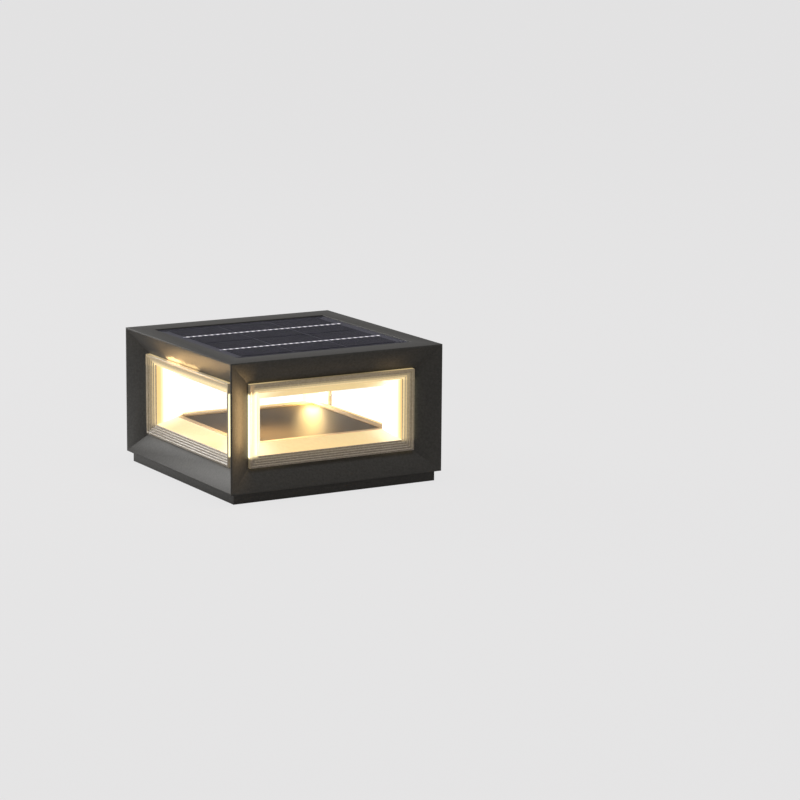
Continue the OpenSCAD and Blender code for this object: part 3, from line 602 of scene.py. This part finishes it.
def castingWeight(edge):
    ends = [v.co for v in edge.verts]
    face, top = body["half"] - slack["plane"], body["top"] - slack["plane"]
    bottom = body["bottom"] + slack["plane"]
    if all(max(abs(p.x), abs(p.y)) > face for p in ends):
        outermost = all(p.z > top or p.z < bottom or min(abs(p.x), abs(p.y)) > face for p in ends)
        return 1.0 if outermost else casting["land"]
    return casting["pocket"] if all(p.z > top for p in ends) else 0.0


shell = copyNode("housing", "housing_body")
weighEdges(shell, castingWeight)
roundEdges(shell, casting["outer"], casting["segments"], weighed=True)
dress(shell, blackCoat)
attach(shell, "lamp")
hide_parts("housing")
print("housing done")


# Plinth: the tray with its outer edges rounded
tray = {"outer": 0.6 * mm, "segments": 3}


def plinthWeight(edge):
    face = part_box("base_tray")[1].x - slack["plane"]
    return 1.0 if all(max(abs(v.co.x), abs(v.co.y)) > face for v in edge.verts) else 0.0


plinth = copyNode("base_tray", "plinth")
weighEdges(plinth, plinthWeight)
roundEdges(plinth, tray["outer"], tray["segments"], weighed=True)
dress(plinth, blackCoat)
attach(plinth, "lamp")
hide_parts("base_tray")
print("plinth done")


# Lenses: flange, skirt, ridges, smooth band and pane, grown from the flange's block
def makeLens():
    low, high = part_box("window_front")
    middle, halfRise = (low.z + high.z) / 2, (high.z - low.z) / 2

    def fitTo(inset, across, rise):
        # Brings the picked face, inset from the flange's outline, to its own half width and half height
        shrink = (across / (high.x - inset), 1, rise / (halfRise - inset))
        bpy.ops.transform.resize(value=shrink, center_override=(0, 0, middle))

    flangeBack = low.y + lens["skirt"] + lens["flangeThick"]
    piece = startBlock("lens_front", (low.x, low.y + lens["skirt"], low.z), (high.x, flangeBack, high.z))
    pick(piece, "FACE", lambda face: face.normal.y < -slack["facing"])
    bpy.ops.mesh.inset(thickness=lens["flangeWidth"])
    push(-lens["skirt"])
    for ridge in range(lens["ridges"]):
        bpy.ops.mesh.inset(thickness=lens["ridgeWidth"])
        push(lens["ridgeStep"])
    push(lens["bandDepth"])
    inset = lens["flangeWidth"] + lens["ridges"] * lens["ridgeWidth"]
    fitTo(inset, lens["openHalf"], lens["openRise"])
    pick(piece, "FACE", lambda face: face.normal.y > slack["facing"])
    bpy.ops.mesh.inset(thickness=inset - lens["wall"])
    push(high.y - flangeBack)
    fitTo(inset - lens["wall"], lens["openHalf"] + lens["wall"], lens["openRise"] + lens["wall"])
    roundEdges(piece, lens["softEdge"])
    return piece


lensFinishes = (clearRidges(), ridgeSteps(), litBand(), clearPane())


def dressLens(piece):
    low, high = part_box("window_front")
    paneFront = high.y - lens["paneThick"] - lens["paneSlack"]
    ringDepth = low.y + lens["ridges"] * lens["ridgeStep"] + lens["ringSlack"]
    flangeBack = low.y + lens["skirt"] + lens["flangeThick"] + lens["flangeSlack"]
    middle = (low.z + high.z) / 2
    dress(piece, *lensFinishes)
    onTread, onRiser, onBand, onPane = range(len(lensFinishes))
    for face in piece.data.polygons:
        spot, way = face.center, face.normal
        inwards = min(way.x * spot.x, way.z * (spot.z - middle)) < -slack["inward"]
        if abs(way.y) > lens["paneFacing"] and spot.y > paneFront:
            face.material_index = onPane
        elif spot.y > flangeBack or spot.y > ringDepth and inwards:
            face.material_index = onBand
        else:
            face.material_index = onTread if abs(way.y) > lens["treadFacing"] else onRiser


frontLens = makeLens()
dressLens(frontLens)
for quarter, side in enumerate(sides):
    piece = frontLens if quarter == 0 else turnedCopy(frontLens, "lens_" + side, quarter)
    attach(piece, "lamp")
    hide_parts("window_" + side)
print("lenses done")


# Cells: three to a row and two rows, with fine pale fingers printed across each
grid = {"gap": 2.5 * mm, "perRow": 3, "rows": 2}
fingers = {
    "pitch": 3.5 * mm, "count": 17, "width": 0.45 * mm, "thick": 0.04 * mm, "margin": 1.6 * mm,
    "colour": (0.045, 0.043, 0.058), "roughness": 0.7,
}


def cellSize():
    low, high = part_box("solar_cells")
    gap = grid["gap"]
    return (high.x - low.x + gap) / grid["perRow"] - gap, (high.y - low.y + gap) / grid["rows"] - gap


def makeFingers():
    low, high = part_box("solar_cells")
    width, depth = cellSize()
    first = low.x + (width - (fingers["count"] - 1) * fingers["pitch"]) / 2
    half, margin = fingers["width"] / 2, fingers["margin"]
    bar = startBlock("cell_fingers", (first - half, low.y + margin, high.z),
                     (first + half, low.y + depth - margin, high.z + fingers["thick"]))
    repeatPiece(bar, (fingers["pitch"], 0, 0), fingers["count"])
    repeatPiece(bar, (width + grid["gap"], 0, 0), grid["perRow"])
    repeatPiece(bar, (0, depth + grid["gap"], 0), grid["rows"])
    return bar


fingerPiece = makeFingers()
dress(fingerPiece, plain("finger_paste", fingers["colour"], fingers["roughness"]))
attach(fingerPiece, "lamp")


# Collecting ribbons: a chain of soldered beads along each row, one modelled and repeated
def makeRibbons():
    low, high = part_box("solar_ribbons")
    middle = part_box("solar_cells")[0].y + cellSize()[1] / 2
    half, thick = middle - low.y, high.z - low.z
    count = int((high.x - low.x) / beads["pitch"])
    length = (high.x - low.x) / count
    piece = startBlock("ribbon_pair", (low.x, middle - half * beads["neck"], low.z),
                       (low.x + length, middle + half * beads["neck"], low.z + thick * beads["flat"]))
    pick(piece, "FACE", lambda face: abs(face.normal.x) > slack["facing"])
    bpy.ops.mesh.delete(type="ONLY_FACE")
    pick(piece, "EDGE", lambda edge: abs(edge.verts[0].co.x - edge.verts[1].co.x) > length / 2)
    bpy.ops.mesh.subdivide(number_cuts=beads["rings"])
    for ring in range(1, beads["rings"] + 1):
        share = ring / (beads["rings"] + 1)
        place, swell = low.x + length * share, math.sin(math.pi * share)
        pick(piece, "EDGE", lambda edge: all(abs(v.co.x - place) < slack["plane"] for v in edge.verts))
        wide = 1 + (1 / beads["neck"] - 1) * swell
        tall = 1 + (1 / beads["flat"] - 1) * swell
        bpy.ops.transform.resize(value=(1, wide, tall), center_override=(place, middle, low.z))
    repeatPiece(piece, (length, 0, 0), count, merged=True)
    take(piece)
    bpy.ops.object.mode_set(mode="EDIT")
    bpy.ops.mesh.select_all(action="SELECT")
    bpy.ops.mesh.fill_holes(sides=4)
    bpy.ops.mesh.normals_make_consistent(inside=False)
    repeatPiece(piece, (0, -2 * middle, 0), 2)
    shadeSmooth(piece, angle["ribbonShade"])
    return piece


ribbonPiece = makeRibbons()
dress(ribbonPiece, finishes["ribbon"])
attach(ribbonPiece, "lamp")
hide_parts("solar_ribbons")
print("panel done")


# Return spring of the power button, copied from the CAD spring; the share by which the button's travel and a
# little room would shorten it is worked out but not used
coil = {"room": 0.02 * mm}


def makeSpring():
    low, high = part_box("button_spring")
    joints = {joint["name"]: joint for joint in frame["record"]["behaviour"]["joints"]}
    travel = joints["button_press"]["range_m"][1]
    piece = copyNode("button_spring", "return_spring")
    shadeSmooth(piece, angle["wireShade"])
    dress(piece, steel)
    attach(piece, "lamp")
    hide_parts("button_spring")
    1 - (travel + coil["room"]) / (high.z - low.z)
    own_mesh(piece)


makeSpring()
print("spring done")


# Base screws: the heads under the tray get a cross recess
recess = {"across": 3.6 * mm, "width": 0.9 * mm, "depth": 1.0 * mm, "edge": 0.12 * mm, "facing": 0.99}


def cutAway(piece, cutters):
    take(cutters[0])
    for cutter in cutters:
        cutter.select_set(True)
    bpy.ops.object.join()
    tool = bpy.context.object
    take(piece)
    bpy.ops.object.modifier_add(type="BOOLEAN")
    cut = piece.modifiers[-1]
    cut.operation, cut.solver, cut.object = "DIFFERENCE", "EXACT", tool
    bpy.ops.object.modifier_apply(modifier=cut.name)
    take(tool)
    bpy.ops.object.delete()


def makeBaseScrews():
    piece = copyNode("base_screws", "base_screw_set")
    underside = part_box("base_screws")[0].z + slack["plane"]
    heads = [face.center.copy() for face in piece.data.polygons
             if face.normal.z < -recess["facing"] and face.center.z < underside]
    for reach in ((recess["across"], recess["width"]), (recess["width"], recess["across"])):
        half = Vector((reach[0] / 2, reach[1] / 2, recess["depth"]))
        cutAway(piece, [startBlock("recess_cutter", head - half, head + half) for head in heads])
    roundEdges(piece, recess["edge"])
    dress(piece, steel)
    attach(piece, "lamp")
    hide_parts("base_screws")
    print(len(heads), "base screws done")


makeBaseScrews()


# Studio: one pale floor, a pale world, a soft key from behind on the left and a broad fill from above
studio = {
    "seen": 0.803, "through": 1.25, "mirrored": 0.35, "backdrop": (1.0, 0.995, 1.0),
    "ambient": 0.25, "ambientColour": (1.0, 0.91, 0.80),
    "floorSize": 60, "floorGrey": (0.6, 0.6, 0.6, 1), "floorDiffuse": 0.06,
}
studioLamps = {
    "key": {"way": (-0.50, 0.86, 0.28), "far": 2.6, "size": 1.8, "power": 54.0,
            "colour": (1.0, 0.99, 0.97)},
    "fill": {"way": (0.0, -0.12, 1.0), "far": 3.0, "size": 2.5, "power": 54.0,
             "colour": (1.0, 0.99, 0.98)},
}


def paleness(made):
    # What the camera, a mirror image and glass see, and 0 for light that falls on things
    camera, glossy, clear, bounces = (made.add("LightPath", output=name) for name in (
        "Is Camera Ray", "Is Glossy Ray", "Is Transmission Ray", "Glossy Depth"))
    seen = camera.most(glossy).most(clear)
    mirror = bounces.least(1.0)
    level = camera * studio["seen"] + clear * (1 - mirror) * studio["through"]
    return seen, level + seen * mirror * studio["mirrored"]


def makeWorld():
    made = Finish("studio", "worlds")
    bpy.context.scene.world = made.owner
    seen, level = paleness(made)
    made.output(made.add("Background", inputs={
        "Color": made.blend(seen, studio["ambientColour"], studio["backdrop"]),
        "Strength": level + (1 - seen) * studio["ambient"]}), "OutputWorld")


def makeFloor():
    calm()
    bpy.ops.mesh.primitive_plane_add(size=studio["floorSize"], location=(0, 0, 0))
    floor = bpy.context.object
    floor.name = "floor"
    made = Finish("floor_card")
    seen, level = paleness(made)
    lit = made.add("BsdfDiffuse", inputs={"Color": studio["floorGrey"]})
    shown = made.add("Emission", inputs={"Color": (*studio["backdrop"], 1), "Strength": level})
    upper = made.add("MixShader", inputs={0: seen * (1 - studio["floorDiffuse"]), 1: lit, 2: shown})
    # Seen from below, the floor isn't there
    under = made.add("NewGeometry", output="Backfacing")
    made.output(made.add("MixShader", inputs={0: under, 1: upper, 2: made.add("BsdfTransparent")}))
    dress(floor, made)


def placeLamp(name, spot, way, size, power, colour):
    # way is the direction that the lamp shines in; size is its width and its height
    data = bpy.data.lights.new(name, "AREA")
    data.shape = "RECTANGLE"
    data.size, data.size_y = size
    data.energy, data.color = power, colour
    lamp = bpy.data.objects.new(name, data)
    lamp.location = spot
    lamp.rotation_euler = (-Vector(way)).to_track_quat("Z", "Y").to_euler()
    bpy.context.scene.collection.objects.link(lamp)
    return lamp


def addStudioLamp(name, values):
    reach = Vector(values["way"]).normalized() * values["far"]
    spot = Vector((0, 0, body["top"] / 2)) + reach
    placeLamp(name, spot, -reach, (values["size"], values["size"]), values["power"], values["colour"])


# Light that leaves the lenses and falls on the bevels. The spot is given along a face, out from it and
# up, and the way it shines likewise. The first are for the front and the back, the second for the
# left and the right.
spillColour = (1.0, 0.64, 0.27)
frontSpills = {
    "side": {"spot": (-92 * mm, 3 * mm, 84 * mm), "way": (-1, 0, 0.05), "size": (8 * mm, 56 * mm),
             "power": 0.046},
    "corner": {"spot": (70 * mm, -4 * mm, 117 * mm), "way": (0, 0.3, 1), "size": (26 * mm, 8 * mm),
               "power": 0.0011},
    "above": {"spot": (0, 2 * mm, 116 * mm), "way": (0, 0.1, 1), "size": (180 * mm, 8 * mm),
              "power": 0.003},
}
leftSpills = {
    "along": {"spot": (2 * mm, 5 * mm, 116 * mm), "way": (0, 0.1, 1), "size": (124 * mm, 8 * mm),
              "power": 0.056},
    "bright": {"spot": (-36 * mm, -11.4 * mm, 122.4 * mm), "way": (0, -0.8, 1),
               "size": (30 * mm, 1.2 * mm), "power": 0.010},
    "tail": {"spot": (0, -11.4 * mm, 122.4 * mm), "way": (0, -0.8, 1), "size": (44 * mm, 1.2 * mm),
             "power": 0.006},
}
# Light of the strips on the lantern's floor: at the foot of one, along the floor from it, and wide
# from the one opposite. They stand at an angle round the middle and lean inwards.
floorSpills = {
    "foot": {"far": 106 * mm, "angle": 43.5, "height": 62 * mm, "size": (16 * mm, 12 * mm), "lean": 0.62,
             "power": 0.026, "colour": (1.0, 0.72, 0.24)},
    "streak": {"far": 104 * mm, "angle": 43.5, "height": 76 * mm, "size": (36 * mm, 34 * mm), "lean": 3,
               "power": 0.037, "colour": (1.0, 0.67, 0.27)},
    "wide": {"far": 60 * mm, "angle": 225, "height": 92 * mm, "size": (60 * mm, 60 * mm), "lean": 0,
             "power": 0.12, "colour": (1.0, 0.70, 0.34)},
}


def addSpill(name, values, quarter):
    turn = Matrix.Rotation(math.radians(90 * quarter), 3, "Z")
    along, out, height = values["spot"]
    across, away, up = values["way"]
    spot, way = turn @ Vector((along, -body["half"] - out, height)), turn @ Vector((across, -away, up))
    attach(placeLamp(name, spot, way, values["size"], values["power"], spillColour), "lamp")


def addFloorSpill(name, values):
    out = Matrix.Rotation(math.radians(values["angle"]), 3, "Z") @ Vector((1, 0, 0))
    spot = out * values["far"] + Vector((0, 0, values["height"]))
    way = Vector((0, 0, -1)) - out * values["lean"]
    lamp = placeLamp(name, spot, way, values["size"], values["power"], values["colour"])
    lamp.visible_camera = lamp.visible_transmission = False
    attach(lamp, "lamp")


makeWorld()
makeFloor()
for name, values in studioLamps.items():
    addStudioLamp(name, values)
for name, values in floorSpills.items():
    addFloorSpill(name + "_spill", values)
for half in (0, 2):
    for name, values in frontSpills.items():
        addSpill(f"spill_{name}_{half}", values, half)
    for name, values in leftSpills.items():
        addSpill(f"spill_{name}_{half}", values, half + 3)
bpy.context.scene.view_settings.view_transform = "Standard"


# Camera: the photograph's own place, found from the outline of the body. The focal length is given in
# widths of the picture.
view = {
    "yaw": -30.46, "pitch": 11.09, "roll": 0.45, "far": 3.055, "aim": (0, 0, 70 * mm),
    "right": 126.77 * mm, "up": 7.24 * mm, "focal": 2847 / 800, "sensor": 36,
}


def makeCamera():
    yaw, pitch = math.radians(view["yaw"]), math.radians(view["pitch"])
    ahead = Vector((-math.sin(yaw) * math.cos(pitch), math.cos(yaw) * math.cos(pitch), -math.sin(pitch)))
    level = Vector((math.cos(yaw), math.sin(yaw), 0))
    right = Matrix.Rotation(-math.radians(view["roll"]), 3, ahead) @ level
    above = right.cross(ahead)
    data = bpy.data.cameras.new("camera")
    data.sensor_width = view["sensor"]
    data.lens = view["focal"] * view["sensor"]
    camera = bpy.data.objects.new("camera", data)
    turn = Matrix((right, above, -ahead)).transposed().to_4x4()
    spot = Vector(view["aim"]) - ahead * view["far"] + right * view["right"] + above * view["up"]
    camera.matrix_world = Matrix.Translation(spot) @ turn
    bpy.context.scene.collection.objects.link(camera)
    bpy.context.scene.camera = camera


makeCamera()
print("studio done")
